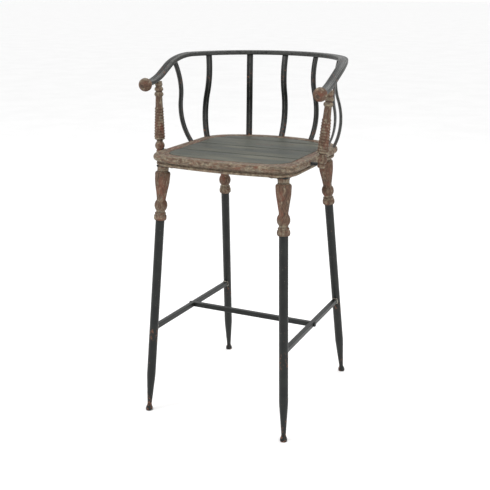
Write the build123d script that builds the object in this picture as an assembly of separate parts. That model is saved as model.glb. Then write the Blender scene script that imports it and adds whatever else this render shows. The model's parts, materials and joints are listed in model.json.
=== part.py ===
"""Bar stool with a low curved back, turned wooden legs on steel tubes, and an H-shaped footrest.

Units are millimetres. The floor is z = 0, +Z is up, the sitter faces -Y, and x = 0 is the plane
of symmetry. Every separate piece of the stool is one node, and is written to parts/NODE.step.
"""
import os
from math import cos, radians, sin, sqrt

from build123d import *

# ---------------------------------------------------------------- driving dimensions
SEAT_TOP = 762.0            # bar height: 30 in to the top of the seat
RIM_THICKNESS = 31.0
RIM_WIDTH = 36.0            # painted border around the planks, at the middle of each side
RIM_STOCK = 62.0            # width swept before the field is cut out
SEAT_HALF_WIDTH = 220.0
SEAT_FRONT = -244.0         # y of the middle of the bowed front edge
SEAT_BACK = 228.0           # y of the middle of the bowed back edge
FRONT_EDGE_RADIUS = 950.0
BACK_EDGE_RADIUS = 340.0
FRONT_CORNER_RADIUS = 66.0
BACK_CORNER_RADIUS = 108.0
FIELD_FRONT_CORNER = 60.0   # corners of the plank field, rounder than an even border would give
FIELD_BACK_CORNER = 95.0
BOARD_THICKNESS = 12.0
PLANK_SEAMS = [-100.0, 14.0, 128.0]     # y of the gaps between the four planks
PLANK_GAP = 1.2

ROLL_RADIUS = 9.0           # upper bullnose of the seat edge
BEAD_RADIUS = 4.0           # lower bead of the seat edge
BEAD_INSET = 9.0
COVE_DEPTH = 12.5

LEG_TOP_Z = SEAT_TOP - RIM_THICKNESS
FRONT_FOOT = (217.0, -253.6)
FRONT_TOP = (181.5, -194.0)
BACK_FOOT = (206.0, 253.6)
BACK_TOP = (167.0, 150.5)
TUBE_DIAMETER = 25.4        # 1 in tube
TUBE_WALL = 1.5
TUBE_END_DIAMETER = 12.6
TUBE_TAPER_LENGTH = 95.0
TURNING_LENGTH = 153.0
FOOT_HEIGHT = 17.0
FOOT_DIAMETER = 20.0

PLATE_THICKNESS = 3.0
PLATE_SIZE = 56.0
PLATE_SHIFT = 12.0          # the plate reaches further inboard than outboard of the leg
PLATE_CORNER = 9.0
ROD_DIAMETER = 8.0
ROD_CLEARANCE = 0.2
ROD_INTO_TUBE = 26.0
TUBE_NUT_LENGTH = 14.0

STRETCHER_Z = 255.5
STRETCHER_SIZE = 14.0       # square tube
STRETCHER_WALL = 1.2
CROSS_Y = -7.7
BOLT_DIAMETER = 6.0
BOLT_HEAD_DIAMETER = 15.0
BOLT_HEAD_HEIGHT = 5.0

RAIL_RADIUS = 260.0
RAIL_CENTRE_Y = -22.0
RAIL_Z = 1012.0
RAIL_WIDTH = 26.0
RAIL_THICKNESS = 13.0
RAIL_LEVEL_END = 24.0       # degrees from the side at which the arm begins to fall
ARM_BEND_END = (260.0, -22.0, 986.0)
ARM_STRAIGHT = 42.0
ARM_END = (260.0, -134.0, 945.4)
STUD_DIAMETER = 5.0         # studs from the rail into the wooden balls and posts
BALL_CENTRE = (260.0, -148.0, 942.5)
BALL_DIAMETER = 37.5

POST_FINIAL = (250.0, -96.0, 764.0)     # centre of the turned ball at the foot of the arm post
POST_BEAD = (258.0, -80.0, 911.0)       # centre of the lower bead at its head
POST_ROD_DIAMETER = 9.0
POST_ROD_Z = 752.0

SPINDLE_WIDTH = 19.0
SPINDLE_THICKNESS = 6.0
SPINDLE_CORNER = 1.6
SPINDLE_TENON = 14.0
SPINDLE_FEET = [(211.0, 20.0), (207.0, 114.0), (103.0, 197.0), (0.0, 213.0)]
SPINDLE_TOPS = [7.5, 36.8, 65.4, 90.0]  # degrees around the rail's circle
SPINDLE_OUTWARD = 16.0      # how far the lower bow stands out from the straight line
SPINDLE_OUTWARD_AT = 0.28   # and where, as a share of the length
SPINDLE_INWARD = 7.0
SPINDLE_INWARD_AT = 0.78


# ---------------------------------------------------------------- helpers
def mirrored(shape):
    """The same piece on the other side of the stool."""
    return mirror(shape, about=Plane.YZ)


def lathe(*edges):
    """A turned solid from a half profile of radius and distance along the Z axis."""
    return revolve(Plane.XZ * make_face(Curve() + list(edges)), Axis.Z)


def rod(start, end, diameter):
    """A round bar between two points."""
    axis = Vector(*end) - Vector(*start)
    plane = Plane(origin=start, z_dir=axis)
    return plane * Cylinder(diameter / 2, axis.length, align=(Align.CENTER, Align.CENTER, Align.MIN))


def block_above(z):
    """A large block whose underside is at height z."""
    return Pos(0, 0, z) * Box(900, 900, 120, align=(Align.CENTER, Align.CENTER, Align.MIN))


# ---------------------------------------------------------------- seat
def seat_outline(inset=0.0, front_corner=FRONT_CORNER_RADIUS, back_corner=BACK_CORNER_RADIUS):
    """An outline parallel to the seat's edge with its own corners: straight sides and bowed ends."""
    half_width = SEAT_HALF_WIDTH - inset
    front_centre = SEAT_FRONT + FRONT_EDGE_RADIUS
    back_centre = SEAT_BACK - BACK_EDGE_RADIUS
    front_x = half_width - front_corner
    back_x = half_width - back_corner
    front_y = front_centre - sqrt((FRONT_EDGE_RADIUS - inset - front_corner)**2 - front_x**2)
    back_y = back_centre + sqrt((BACK_EDGE_RADIUS - inset - back_corner)**2 - back_x**2)
    front_out = (Vector(front_x, front_y) - Vector(0, front_centre)).normalized()
    back_out = (Vector(back_x, back_y) - Vector(0, back_centre)).normalized()
    front_joint = Vector(front_x, front_y) + front_out * front_corner
    back_joint = Vector(back_x, back_y) + back_out * back_corner

    front = TangentArc((0, SEAT_FRONT + inset), front_joint, tangent=(1, 0))
    front_corner = TangentArc(front_joint, (half_width, front_y), tangent=front % 1)
    side = Line((half_width, front_y), (half_width, back_y))
    back_corner = TangentArc((half_width, back_y), back_joint, tangent=(0, 1))
    back = TangentArc(back_joint, (0, SEAT_BACK - inset), tangent=back_corner % 1)
    right = [front, front_corner, side, back_corner, back]
    left = [mirrored(edge) for edge in reversed(right)]
    return Wire([edge.edge() for edge in right + left])


def rim_section():
    """Bullnose over a cove over a small bead, as a face at the front of the seat."""
    top = SEAT_TOP
    low = SEAT_TOP - RIM_THICKNESS
    roll_low = top - 2 * ROLL_RADIUS
    bead_top = low + 2 * BEAD_RADIUS
    bead_end = BEAD_INSET + BEAD_RADIUS
    profile = Curve() + [
        Polyline((bead_end, low), (RIM_STOCK, low), (RIM_STOCK, top), (ROLL_RADIUS, top)),
        ThreePointArc((ROLL_RADIUS, top), (0, top - ROLL_RADIUS), (ROLL_RADIUS, roll_low)),
        Polyline((ROLL_RADIUS, roll_low), (COVE_DEPTH, roll_low - 1.5), (COVE_DEPTH, bead_top + 1.0),
                 (bead_end, bead_top)),
        ThreePointArc((bead_end, bead_top), (BEAD_INSET, low + BEAD_RADIUS), (bead_end, low)),
    ]
    return Plane(origin=(0, SEAT_FRONT, 0), x_dir=(0, 1, 0), z_dir=(1, 0, 0)) * make_face(profile)


def field_outline(clearance):
    """The plank field inside the rim, as a face, smaller all round by the clearance."""
    outline = seat_outline(RIM_WIDTH + clearance, FIELD_FRONT_CORNER - clearance, FIELD_BACK_CORNER - clearance)
    return make_face(outline)


def build_seat():
    """The moulded rim, the board let into it and the planks that lie on the board."""
    underside = SEAT_TOP - RIM_THICKNESS
    plank_base = underside + BOARD_THICKNESS
    opening = Pos(0, 0, underside - 1) * extrude(field_outline(0.0), RIM_THICKNESS + 2)
    rim = sweep(rim_section(), path=seat_outline()) - opening
    board = Pos(0, 0, underside) * extrude(field_outline(0.1), BOARD_THICKNESS)
    field = Pos(0, 0, plank_base) * extrude(field_outline(0.5), SEAT_TOP - plank_base)
    edges = [SEAT_FRONT, *PLANK_SEAMS, SEAT_BACK]
    planks = []
    for low, high in zip(edges, edges[1:]):
        strip = Box(600, high - low - PLANK_GAP, 60)
        planks.append(field & Pos(0, (low + high) / 2, SEAT_TOP) * strip)
    return rim, board, planks


# ---------------------------------------------------------------- legs
def leg_line(foot, top):
    """Top and foot of a leg's axis, and the direction down it."""
    upper = Vector(*top, LEG_TOP_Z)
    end = Vector(*foot, 0)
    direction = (end - upper).normalized()
    start = upper - direction * (PLATE_THICKNESS / direction.Z)
    return start, end, direction


def leg_plane(start, direction):
    """Work plane at the top of a leg with its Z down the leg."""
    return Plane(origin=start, x_dir=(1, 0, 0), z_dir=direction)


def leg_turning(start, direction):
    """Neck, shouldered vase, ball and collar, bored through for the rod."""
    end = TURNING_LENGTH
    solid = lathe(
        Polyline((0, -5), (16.8, -5), (16.8, 3), (15.8, 6), (15.8, 14.5), (19.6, 16.5)),
        ThreePointArc((19.6, 16.5), (21.1, 19.5), (21.5, 24)),
        Spline((21.5, 24), (20.2, 46), (16.0, 72), (13.0, 91.5), tangents=[(0, 1), (-0.02, 1)]),
        Polyline((13.0, 91.5), (13.0, 97), (14.6, 98.5)),
        ThreePointArc((14.6, 98.5), (18.2, 111), (14.6, 123.5)),
        Polyline((14.6, 123.5), (12.8, 125.5), (12.8, 131), (15.6, 132), (15.6, 135.5), (14.4, 136.5), (16.8, 138.5)),
        ThreePointArc((16.8, 138.5), (18.0, 144.5), (17.2, end - 1.5)),
        Polyline((17.2, end - 1.5), (16.0, end), (0, end), (0, -5)),
    )
    solid -= Cylinder(ROD_DIAMETER / 2 + ROD_CLEARANCE, 500)
    return leg_plane(start, direction) * solid - block_above(start.Z)


def leg_tube(start, end, direction):
    """Round tube, straight and then tapered to a small end just above the foot."""
    top = TURNING_LENGTH
    length = (end - start).length - FOOT_HEIGHT
    taper = length - TUBE_TAPER_LENGTH
    outer = TUBE_DIAMETER / 2
    small = TUBE_END_DIAMETER / 2
    wall = TUBE_WALL
    outside = Polyline((outer - wall, top), (outer, top), (outer, taper), (small, length), (small - wall, length))
    inside = Polyline((small - wall, length), (outer - wall, taper), (outer - wall, top))
    return leg_plane(start, direction) * lathe(outside, inside)


def leg_foot(start, end, direction):
    """Turned steel foot: a spigot in the tube, a neck and a rounded bead cut flat on the floor."""
    low = (end - start).length
    top = low - FOOT_HEIGHT
    spigot = TUBE_END_DIAMETER / 2 - TUBE_WALL - 0.15
    neck = TUBE_END_DIAMETER / 2 + 0.8
    radius = FOOT_DIAMETER / 2
    solid = lathe(
        Polyline((0, top - 10), (spigot, top - 10), (spigot, top), (neck, top), (neck, top + 2.5), (7.4, top + 3.5)),
        ThreePointArc((7.4, top + 3.5), (radius, low - 7), (radius - 1.6, low + 3)),
        Polyline((radius - 1.6, low + 3), (0, low + 3), (0, top - 10)),
    )
    return leg_plane(start, direction) * solid - Pos(0, 0, -30) * Box(900, 900, 60)


def plate_screw_points(x, y, inward):
    """Three corners of the plate; the leg stands at the fourth."""
    reach = PLATE_SIZE / 2 - 9.0
    near = PLATE_SHIFT - reach
    far = PLATE_SHIFT + reach
    return [(x - far, y + inward * near), (x - far, y + inward * far), (x - near, y + inward * far)]


def leg_plate(x, y, inward):
    """Steel corner plate under the seat with three screw holes."""
    plate = Box(PLATE_SIZE, PLATE_SIZE, PLATE_THICKNESS, align=(Align.CENTER, Align.CENTER, Align.MAX))
    plate = fillet(plate.edges().filter_by(Axis.Z), PLATE_CORNER)
    plate = Pos(x - PLATE_SHIFT, y + inward * PLATE_SHIFT, LEG_TOP_Z) * plate
    for px, py in plate_screw_points(x, y, inward):
        plate -= Pos(px, py, LEG_TOP_Z) * Cylinder(2.2, 20)
    return plate


def plate_screw(x, y):
    """Pan-head wood screw with its head under the plate."""
    head = Cylinder(4.2, 2.6, align=(Align.CENTER, Align.CENTER, Align.MAX))
    head = fillet(head.faces().sort_by(Axis.Z)[0].edges(), 1.6)
    shank = Cylinder(2.0, 14.0, align=(Align.CENTER, Align.CENTER, Align.MIN))
    return Pos(x, y, LEG_TOP_Z - PLATE_THICKNESS) * (head + shank)


def leg_rod(start, direction):
    """Threaded rod from the plate, down through the turning into the tube's nut."""
    bar = rod(start - direction * 8, start + direction * (TURNING_LENGTH + ROD_INTO_TUBE), ROD_DIAMETER)
    return bar - block_above(LEG_TOP_Z)


def tube_nut(start, direction):
    """Round threaded plug welded inside the top of the tube."""
    first = start + direction * (TURNING_LENGTH + 1.0)
    plug = rod(first, first + direction * TUBE_NUT_LENGTH, TUBE_DIAMETER - 2 * TUBE_WALL - 0.1)
    return plug - rod(start, start + direction * 400, ROD_DIAMETER + 0.1)


# ---------------------------------------------------------------- footrest
def leg_point_at(foot, top, z):
    """The point of a leg's axis at a height."""
    start, _, direction = leg_line(foot, top)
    return start + direction * ((z - start.Z) / direction.Z)


def leg_envelope(foot, top):
    """The straight part of a tube as a solid bar, for coping the stretchers to it."""
    start, _, direction = leg_line(foot, top)
    return rod(start + direction * TURNING_LENGTH, start + direction * 620, TUBE_DIAMETER)


def square_tube(start, end):
    """A level square tube between two points, and its solid envelope."""
    axis = Vector(*end) - Vector(*start)
    plane = Plane(origin=start, x_dir=axis.cross(Vector(0, 0, 1)), z_dir=axis)
    bore = STRETCHER_SIZE - 2 * STRETCHER_WALL
    outer = extrude(plane * RectangleRounded(STRETCHER_SIZE, STRETCHER_SIZE, 1.5), axis.length)
    inner = extrude(plane * RectangleRounded(bore, bore, 0.6), axis.length)
    return outer - inner, outer


def build_footrest():
    """Right side stretcher, cross stretcher, and the right end's threaded plug and bolt."""
    front = leg_point_at(FRONT_FOOT, FRONT_TOP, STRETCHER_Z)
    back = leg_point_at(BACK_FOOT, BACK_TOP, STRETCHER_Z)
    joint = front + (back - front) * ((CROSS_Y - front.Y) / (back.Y - front.Y))
    outward = (back - front).cross(Vector(0, 0, 1)).normalized()
    outer_face = joint + outward * (STRETCHER_SIZE / 2)

    side, envelope = square_tube(front, back)
    side = side - leg_envelope(FRONT_FOOT, FRONT_TOP) - leg_envelope(BACK_FOOT, BACK_TOP)
    side -= rod(joint - outward * 20, joint + outward * 20, BOLT_DIAMETER + 0.4)

    left_end = Vector(-joint.X, joint.Y, joint.Z)
    cross, _ = square_tube(left_end, joint)
    cross = cross - envelope - mirrored(envelope)

    plug_size = STRETCHER_SIZE - 2 * STRETCHER_WALL - 0.2
    plug = Box(18, plug_size, plug_size)
    plug = fillet(plug.edges().filter_by(Axis.X), 0.9)
    plug = Pos(joint.X - 16, joint.Y, joint.Z) * plug - envelope
    plug -= rod(joint - outward * 40, joint, BOLT_DIAMETER + 0.1)

    head = rod(outer_face, outer_face + outward * BOLT_HEAD_HEIGHT, BOLT_HEAD_DIAMETER)
    head = fillet(head.edges().filter_by(GeomType.CIRCLE).sort_by(Axis.X)[-1], 2.6)
    bolt = head + rod(joint - outward * 22, outer_face + outward, BOLT_DIAMETER)
    return side, cross, plug, bolt


# ---------------------------------------------------------------- back rail and arms
def rail_half_path():
    """Right half of the rail's centre line: level arc, falling arc, straight, and flattening arc."""
    level = Pos(0, RAIL_CENTRE_Y, RAIL_Z) * CenterArc((0, 0), RAIL_RADIUS, 90, RAIL_LEVEL_END - 90)
    bend = TangentArc(level @ 1, ARM_BEND_END, tangent=level % 1)
    straight = Line(bend @ 1, (bend @ 1) + (bend % 1) * ARM_STRAIGHT)
    flatten = TangentArc(straight @ 1, ARM_END, tangent=straight % 1)
    return [level, bend, straight, flatten]


def rail_section():
    """Moulded handrail: rounded sides and two shallow grooves along the top."""
    half = RAIL_WIDTH / 2
    up = RAIL_THICKNESS / 2
    right = [
        Line((0, -up), (half - 4, -up)),
        ThreePointArc((half - 4, -up), (half - 1.2, -up + 1.2), (half, -up + 4)),
        Line((half, -up + 4), (half, up - 4)),
        ThreePointArc((half, up - 4), (half - 1.4, up - 1.6), (half - 4.5, up - 0.5)),
        ThreePointArc((half - 4.5, up - 0.5), (half - 6.5, up - 1.9), (half - 8.5, up - 0.5)),
        ThreePointArc((half - 8.5, up - 0.5), (half - 11, up - 0.1), (0, up)),
    ]
    left = [mirrored(edge) for edge in right]
    plane = Plane(origin=(0, RAIL_CENTRE_Y + RAIL_RADIUS, RAIL_Z), x_dir=(0, 1, 0), z_dir=(1, 0, 0))
    return plane * make_face(Curve() + right + left)


def build_rail():
    """The whole rail, swept as a half and mirrored."""
    path = Wire([edge.edge() for edge in rail_half_path()])
    half = sweep(rail_section(), path=path)
    return half + mirrored(half)


def ball_stud(clearance=0.0):
    """Stud from the end of the rail into the ball."""
    start = Vector(*ARM_END)
    centre = Vector(*BALL_CENTRE)
    axis = (centre - start).normalized()
    return rod(start, centre + axis * 6, STUD_DIAMETER + 2 * clearance)


def arm_ball(rail):
    """Turned wooden ball let over the end of the arm."""
    ball = Pos(*BALL_CENTRE) * Sphere(BALL_DIAMETER / 2)
    return ball - rail - ball_stud(0.2)


# ---------------------------------------------------------------- arm posts
def post_axis():
    """Centre of the ball at the foot of the post, and the direction up the post."""
    low = Vector(*POST_FINIAL)
    return low, (Vector(*POST_BEAD) - low).normalized()


def post_rings(start, count, pitch, radius, slope):
    """Half profile of turned rings, each a round ridge between two fine grooves."""
    edges = []
    for i in range(count):
        low = start + pitch * i
        wide = radius - slope * i
        edges.append(Line((wide - 1.2, low), (wide - 1.5, low + 0.9)))
        edges.append(ThreePointArc((wide - 1.5, low + 0.9), (wide, low + pitch / 2 + 0.45),
                                   (wide - slope - 1.2, low + pitch)))
    return edges


def arm_post(rail):
    """Turned arm post: foot, ball, neck, ringed and tapered shaft, two beads and a cap."""
    rings = post_rings(22.0, 11, 7.9, 15.6, 0.3)
    shaft = 22.0 + 11 * 7.9
    shaft_radius = 15.6 - 11 * 0.3 - 1.2
    low, axis = post_axis()
    solid = lathe(
        Polyline((0, 196), (0, -22), (7.4, -22), (10.2, -20), (10.8, -15), (9.4, -12.5), (9.0, -11)),
        ThreePointArc((9.0, -11), (14.0, 0), (9.2, 11)),
        Polyline((9.2, 11), (8.8, 13), (8.8, 16), (12.2, 17.5)),
        ThreePointArc((12.2, 17.5), (14.7, 19.5), (14.4, 22)),
        *rings,
        Polyline((shaft_radius, shaft), (shaft_radius - 0.4, shaft + 1.0), (9.8, 138.5), (9.8, 140.5)),
        ThreePointArc((9.8, 140.5), (13.2, 147.0), (9.6, 152.5)),
        Line((9.6, 152.5), (8.8, 154.5)),
        ThreePointArc((8.8, 154.5), (12.6, 161.0), (9.0, 167.0)),
        Polyline((9.0, 167.0), (9.0, 169.5), (10.8, 171.5), (10.8, 176), (9.6, 178), (9.6, 196), (0, 196)),
    )
    solid = Plane(origin=low, x_dir=(1, 0, 0), z_dir=axis) * solid
    solid = (solid - rail).solids().sort_by(Axis.Z)[0]
    return solid - post_rod(0.1) - rail_stud(0.2)


def post_rod(clearance=0.0):
    """Steel rod from the seat's edge into the foot of the post."""
    low, axis = post_axis()
    foot = low + axis * ((POST_ROD_Z - low.Z) / axis.Z)
    inner = (SEAT_HALF_WIDTH - 26, foot.Y, POST_ROD_Z)
    return rod(inner, (foot.X + 3, foot.Y, POST_ROD_Z), POST_ROD_DIAMETER + 2 * clearance)


def rail_stud(clearance=0.0):
    """Stud welded under the rail, screwed down into the head of the post."""
    low, axis = post_axis()
    return rod(low + axis * 150, low + axis * 188, STUD_DIAMETER + 2 * clearance)


# ---------------------------------------------------------------- back spindles
def rail_point(angle):
    """The rail's centre line above a spindle."""
    if angle < RAIL_LEVEL_END:
        return rail_half_path()[1] @ ((RAIL_LEVEL_END - angle) / RAIL_LEVEL_END)
    x = RAIL_RADIUS * cos(radians(angle))
    y = RAIL_CENTRE_Y + RAIL_RADIUS * sin(radians(angle))
    return Vector(x, y, RAIL_Z)


def spindle(foot, angle):
    """Flat bar with a shallow S, from its tenon in the seat to the middle of the rail."""
    base = Vector(*foot, SEAT_TOP)
    chord = rail_point(angle) - base
    outward = Vector(cos(radians(angle)), sin(radians(angle)), 0)
    across = outward.cross(chord).normalized()
    plane = Plane(origin=base, x_dir=across.cross(chord) * -1, z_dir=across)

    low = Vector(SPINDLE_OUTWARD, chord.length * SPINDLE_OUTWARD_AT)
    high = Vector(-SPINDLE_INWARD, chord.length * SPINDLE_INWARD_AT)
    foot_curve = TangentArc(low, (0, 0), tangent=(0, -1))
    tenon = Line((0, 0), (foot_curve % 1) * SPINDLE_TENON)
    lower = TangentArc(low, (low + high) / 2, tangent=(0, 1))
    upper = TangentArc((low + high) / 2, high, tangent=lower % 1)
    head = TangentArc(high, (0, chord.length), tangent=(0, 1))
    path = plane * (Curve() + [tenon, foot_curve, lower, upper, head])
    section = Plane(origin=path.wire() @ 0, x_dir=across, z_dir=path.wire() % 0)
    return sweep(section * RectangleRounded(SPINDLE_WIDTH, SPINDLE_THICKNESS, SPINDLE_CORNER), path=path.wire())


# ---------------------------------------------------------------- assembly
def build_legs(parts):
    """Both front and both back legs with their plates, rods, nuts and feet."""
    nuts = []
    screw_points = []
    for end, foot, top, inward in (("front", FRONT_FOOT, FRONT_TOP, 1), ("back", BACK_FOOT, BACK_TOP, -1)):
        start, low, direction = leg_line(foot, top)
        threaded = leg_rod(start, direction)
        pieces = {
            "leg_turning": leg_turning(start, direction),
            "leg_tube": leg_tube(start, low, direction),
            "leg_foot": leg_foot(start, low, direction),
            "leg_plate": leg_plate(*top, inward) - threaded,
            "leg_rod": threaded,
        }
        for name, solid in pieces.items():
            parts[f"{name}_{end}_right"] = solid
            parts[f"{name}_{end}_left"] = mirrored(solid)
        nuts.append(tube_nut(start, direction))
        screw_points += plate_screw_points(*top, inward)
    parts["leg_tube_nuts"] = Compound(children=nuts + [mirrored(nut) for nut in nuts])
    screws = [plate_screw(side * x, y) for x, y in screw_points for side in (1, -1)]
    parts["plate_screws"] = Compound(children=screws)
    return screws


def build_back(parts):
    """Rail, arm balls, posts with their rods and studs, and the spindles."""
    rail = build_rail()
    parts["back_rail"] = rail
    for name, solid in (("arm_ball", arm_ball(rail)), ("arm_post", arm_post(rail)), ("post_rod", post_rod())):
        parts[f"{name}_right"] = solid
        parts[f"{name}_left"] = mirrored(solid)
    for name, solid in (("arm_ball_studs", ball_stud() - rail), ("arm_post_studs", rail_stud() - rail)):
        parts[name] = Compound(children=[solid, mirrored(solid)])
    spindles = []
    for number, (foot, angle) in enumerate(zip(SPINDLE_FEET, SPINDLE_TOPS)):
        solid = spindle(foot, angle)
        spindles.append(solid)
        fitted = (solid - rail).solids().sort_by(Axis.Z)[0]
        parts[f"spindle_{7 - number}"] = fitted
        if angle < 90:
            parts[f"spindle_{number + 1}"] = mirrored(fitted)
            spindles.append(mirrored(solid))
    return spindles


def build_stool():
    """All nodes of the stool by name."""
    parts = {}
    screws = build_legs(parts)
    spindles = build_back(parts)

    rim, board, planks = build_seat()
    for cutter in screws:
        rim -= cutter
        board -= cutter
    for cutter in spindles + [parts["post_rod_right"], parts["post_rod_left"]]:
        rim -= cutter
    parts["seat_rim"] = rim
    parts["seat_board"] = board
    for number, plank in enumerate(planks, start=1):
        parts[f"seat_plank_{number}"] = plank

    side, cross, plug, bolt = build_footrest()
    parts["side_stretcher_right"] = side
    parts["side_stretcher_left"] = mirrored(side)
    parts["cross_stretcher"] = cross
    parts["cross_stretcher_plugs"] = Compound(children=[plug, mirrored(plug)])
    parts["stretcher_bolts"] = Compound(children=[bolt, mirrored(bolt)])
    return parts


os.makedirs("parts", exist_ok=True)
for name, solid in build_stool().items():
    export_step(solid, f"parts/{name}.step")
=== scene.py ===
"""Bar stool with a low curved back: turned, painted wood on charcoal steel, with an H-shaped footrest.

Sizes in this file are millimetres unless a property says otherwise. Meshes are built in metres.
"""
import json
from math import atan2, ceil, cos, hypot, pi, radians, sin, sqrt

import bmesh
import bpy
from bpy.props import FloatProperty, FloatVectorProperty, IntProperty, PointerProperty
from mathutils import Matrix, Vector, noise


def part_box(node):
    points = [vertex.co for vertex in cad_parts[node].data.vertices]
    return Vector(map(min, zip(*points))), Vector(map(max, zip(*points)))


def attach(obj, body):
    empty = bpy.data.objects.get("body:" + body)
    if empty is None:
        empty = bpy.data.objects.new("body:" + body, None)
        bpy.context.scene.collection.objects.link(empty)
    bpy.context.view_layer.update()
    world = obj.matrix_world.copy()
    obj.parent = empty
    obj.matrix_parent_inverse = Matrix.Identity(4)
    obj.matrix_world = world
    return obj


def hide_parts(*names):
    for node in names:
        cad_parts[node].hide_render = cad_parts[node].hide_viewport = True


bl_info = {
    "name": "Bar stool with footrest",
    "version": (1, 0, 0),
    "blender": (4, 5, 0),
    "location": "View3D > Sidebar > Stool",
    "description": "Builds a bar stool with turned wooden leg tops, a steel frame and a plank seat",
    "category": "Object",
}

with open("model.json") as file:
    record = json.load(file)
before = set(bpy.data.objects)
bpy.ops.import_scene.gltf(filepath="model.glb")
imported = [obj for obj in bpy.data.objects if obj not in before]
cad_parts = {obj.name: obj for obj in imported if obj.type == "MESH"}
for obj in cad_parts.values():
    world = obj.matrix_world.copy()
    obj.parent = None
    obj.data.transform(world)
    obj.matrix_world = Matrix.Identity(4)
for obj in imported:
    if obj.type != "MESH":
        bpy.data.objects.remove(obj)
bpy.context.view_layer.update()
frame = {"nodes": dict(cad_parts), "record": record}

MM = 0.001

# ---------------------------------------------------------------- where things are
SEAT_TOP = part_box("seat_rim")[1][2] / MM
RIM_THICKNESS = 31.0
RIM_WIDTH = 36.0
SEAT_HALF_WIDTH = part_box("seat_rim")[1][0] / MM
SEAT_FRONT = -244.0
SEAT_BACK = 228.0
FRONT_EDGE_RADIUS = 950.0
BACK_EDGE_RADIUS = 340.0
FRONT_CORNER_RADIUS = 66.0
BACK_CORNER_RADIUS = 108.0
FIELD_FRONT_CORNER = 60.0
FIELD_BACK_CORNER = 95.0
BORDER_EVEN = 18.0       # the outer part of the border keeps one width all round
PLANK_SEAMS = (-100.0, 14.0, 128.0)
PLANK_GAP = 1.2
PLANK_BASE = SEAT_TOP - RIM_THICKNESS + 12.0

LEG_TOP_Z = SEAT_TOP - RIM_THICKNESS
LEGS = {
    "front": (Vector((217.0, -253.6, 0)), Vector((181.5, -194.0, LEG_TOP_Z))),
    "back": (Vector((206.0, 253.6, 0)), Vector((167.0, 150.5, LEG_TOP_Z))),
}
PLATE_THICKNESS = 3.0
SCREW_INSET = 12.0        # middle of a plate, in from the top of its leg
SCREW_SPREAD = 19.0       # from there to each screw
TURNING_LENGTH = 153.0
FOOT_HEIGHT = 17.0
TUBE_TAPER = 95.0
TUBE_END_RADIUS = 6.3
STRETCHER_Z = 255.5
STRETCHER_SIZE = 14.0
STRETCHER_CORNER = 1.5

RAIL_RADIUS = 260.0
RAIL_CENTRE_Y = -22.0
RAIL_Z = 1012.0
RAIL_LEVEL_END = 24.0
ARM_BEND_END = Vector((260.0, -22.0, 986.0))
ARM_STRAIGHT = 42.0
ARM_END = Vector((260.0, -134.0, 945.4))
BALL_CENTRE = Vector((260.0, -148.0, 942.5))
BALL_RADIUS = 18.75
POST_FINIAL = Vector((250.0, -96.0, 764.0))
POST_BEAD = Vector((258.0, -80.0, 911.0))
SPINDLE_FEET = ((211.0, 20.0), (207.0, 114.0), (103.0, 197.0), (0.0, 213.0))
SPINDLE_TOPS = (7.5, 36.8, 65.4, 90.0)
SPINDLE_TENON = 12.0
SPINDLE_BELLY = (16.0, 0.28)      # how far out of line, and how far up, the S swings out
SPINDLE_WAIST = (7.0, 0.78)       # the same where it swings in
RING_COUNT = 11
RING_PITCH = 7.9
RING_RADIUS = 15.6
RING_SLOPE = 0.3                  # each ring of an arm post is smaller by this
WELD_PROUD = 0.3
RIPPLE_PITCH = 0.42               # share of a ripple's width from one to the next

CAMERA_PLACE = (1.0526, -2.2453, 1.2126)
CAMERA_AZIMUTH = 25.593
CAMERA_PITCH = 16.679
CAMERA_LENS = 64.08
FLOOR_REACH = 60.0                # metres, as are the lamps below: name, place, size and watts
LAMPS = (("key", (-1.9, -2.2, 2.8), 1.8, 42.0), ("fill", (2.6, -1.2, 1.6), 2.2, 20.0),
         ("top", (0.2, 1.4, 3.0), 2.0, 26.0))
LAMP_AIM = Vector((0, 0, 0.6))


def srgb(code):
    """Linear colour and alpha of an sRGB hex code."""
    channels = [int(code[i:i + 2], 16) / 255 for i in (1, 3, 5)]
    return (*[c / 12.92 if c <= 0.04045 else ((c + 0.055) / 1.055) ** 2.4 for c in channels], 1.0)


# ---------------------------------------------------------------- properties
class StoolSizes(bpy.types.PropertyGroup):
    """Sizes that a user may change, in metres."""
    tube: FloatProperty(name="Leg tube", description="Outside diameter of the leg tubes",
                        default=0.0254, min=0.01, max=0.04, unit="LENGTH")
    rail_width: FloatProperty(name="Rail width", description="Width of the back rail's moulded bar",
                              default=0.026, min=0.015, max=0.05, unit="LENGTH")
    rail_thickness: FloatProperty(name="Rail thickness", description="Height of the back rail's bar",
                                  default=0.013, min=0.006, max=0.03, unit="LENGTH")
    spindle_width: FloatProperty(name="Spindle width", description="Width of the flat back bars",
                                 default=0.019, min=0.008, max=0.04, unit="LENGTH")
    spindle_thickness: FloatProperty(name="Spindle thickness", description="Thickness of the flat back bars",
                                     default=0.006, min=0.003, max=0.02, unit="LENGTH")
    bead: FloatProperty(name="Weld ripple", description="Width of one ripple of the weld beads",
                        default=0.0044, min=0.001, max=0.01, unit="LENGTH")
    screw: FloatProperty(name="Screw head", description="Diameter of the heads of the plate screws",
                         default=0.0084, min=0.004, max=0.02, unit="LENGTH")
    wear: FloatProperty(name="Wear", description="Depth of the knocks and hollows in the turned wood",
                        default=0.0006, min=0.0, max=0.002, unit="LENGTH")
    seed: IntProperty(name="Seed", description="Changes the weld ripples and the turn of the screws",
                      default=7)


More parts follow.
